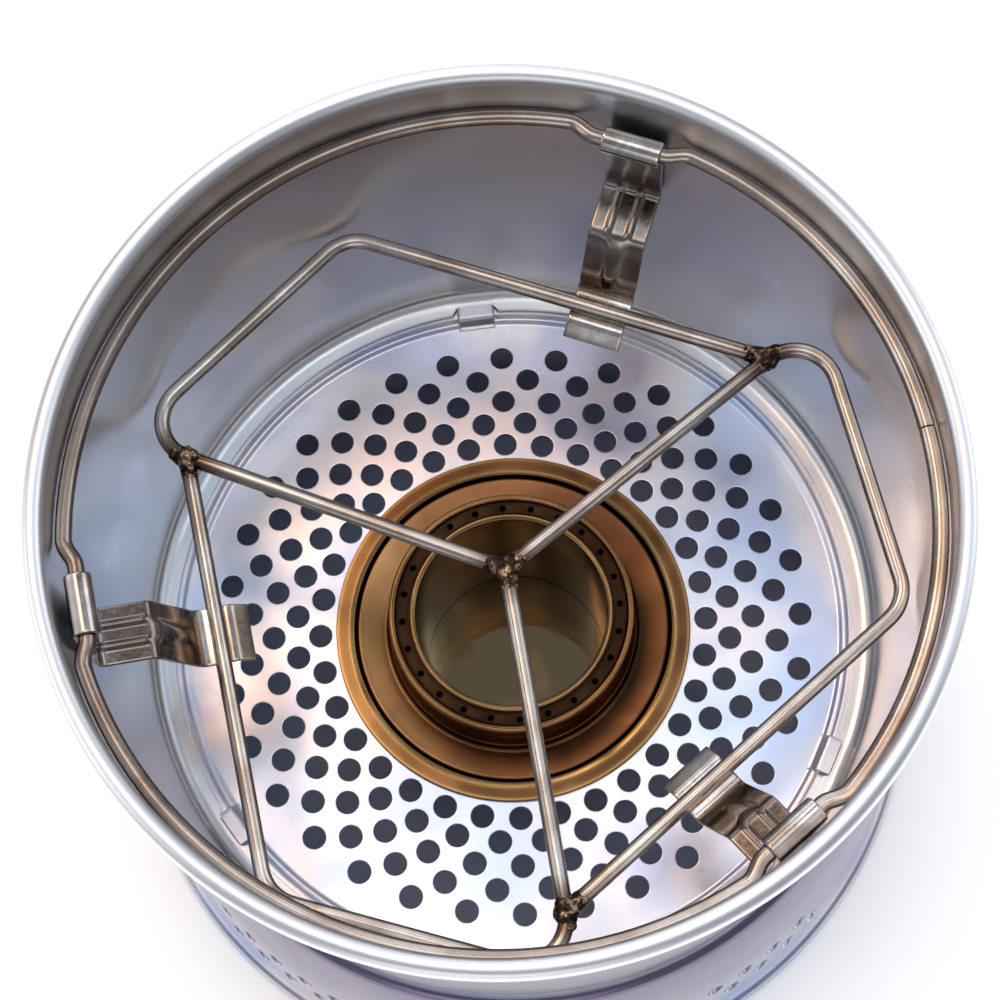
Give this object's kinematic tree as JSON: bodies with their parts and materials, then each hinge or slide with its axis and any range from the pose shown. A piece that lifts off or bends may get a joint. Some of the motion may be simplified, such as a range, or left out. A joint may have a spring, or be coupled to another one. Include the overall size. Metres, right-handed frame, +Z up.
{
  "type": "alcohol spirit stove",
  "caption": "Round two-part aluminium storm stove with a brass spirit burner in a perforated plate, swinging pot supports on a wire rail and a welded wire trivet.",
  "frame": {"origin": "centre of the foot ring, on the ground", "axes": "+Z up along the stove's axis; -X points to the middle of pot_support_2; -Y is the side with the draught vents"},
  "size_m": [0.177, 0.177, 0.1439],
  "materials": {
    "aluminium": "spun and satin",
    "steel": "drawn stainless wire and strip, heat tinted",
    "brass": "heat-darkened brass",
    "cotton": "charred wicking"
  },
  "bodies": {
    "base": {"lower_windshield": "aluminium"},
    "upper": {"upper_windshield": "aluminium", "support_rail": "steel"},
    "burner": {"burner_cup": "brass", "burner_top": "brass", "burner_sleeve": "brass", "burner_wick": "cotton"},
    "trivet": {"trivet_wire_1": "steel", "trivet_wire_2": "steel", "trivet_wire_3": "steel"},
    "pot_support_1": {"pot_support_1": "steel"},
    "pot_support_2": {"pot_support_2": "steel"},
    "pot_support_3": {"pot_support_3": "steel"}
  },
  "joints": [
    {"name": "upper_windshield_lift", "type": "slide", "parent": "base", "child": "upper", "axis": [0, 0, 1], "range_m": [0, 0.08]},
    {"name": "burner_lift", "type": "slide", "parent": "base", "child": "burner", "axis": [0, 0, 1], "range_m": [0, 0.027]},
    {"name": "trivet_lift", "type": "slide", "parent": "upper", "child": "trivet", "axis": [0, 0, 1], "range_m": [0, 0.18]},
    {"name": "pot_support_1_swing", "type": "hinge", "parent": "upper", "child": "pot_support_1", "pos_m": [0.03878, 0.06717, 0.1305], "axis": [-0.866, 0.5, 0], "range_deg": [0, 180]},
    {"name": "pot_support_2_swing", "type": "hinge", "parent": "upper", "child": "pot_support_2", "pos_m": [-0.07756, 0, 0.1305], "axis": [0, -1, 0], "range_deg": [0, 180]},
    {"name": "pot_support_3_swing", "type": "hinge", "parent": "upper", "child": "pot_support_3", "pos_m": [0.03878, -0.06717, 0.1305], "axis": [0.866, 0.5, 0], "range_deg": [0, 180]}
  ],
  "couplings": [
    {"joint": "pot_support_1_swing", "follows": "trivet_lift", "rad_per_m": 17.45},
    {"joint": "pot_support_2_swing", "follows": "trivet_lift", "rad_per_m": 17.45},
    {"joint": "pot_support_3_swing", "follows": "trivet_lift", "rad_per_m": 17.45}
  ]
}
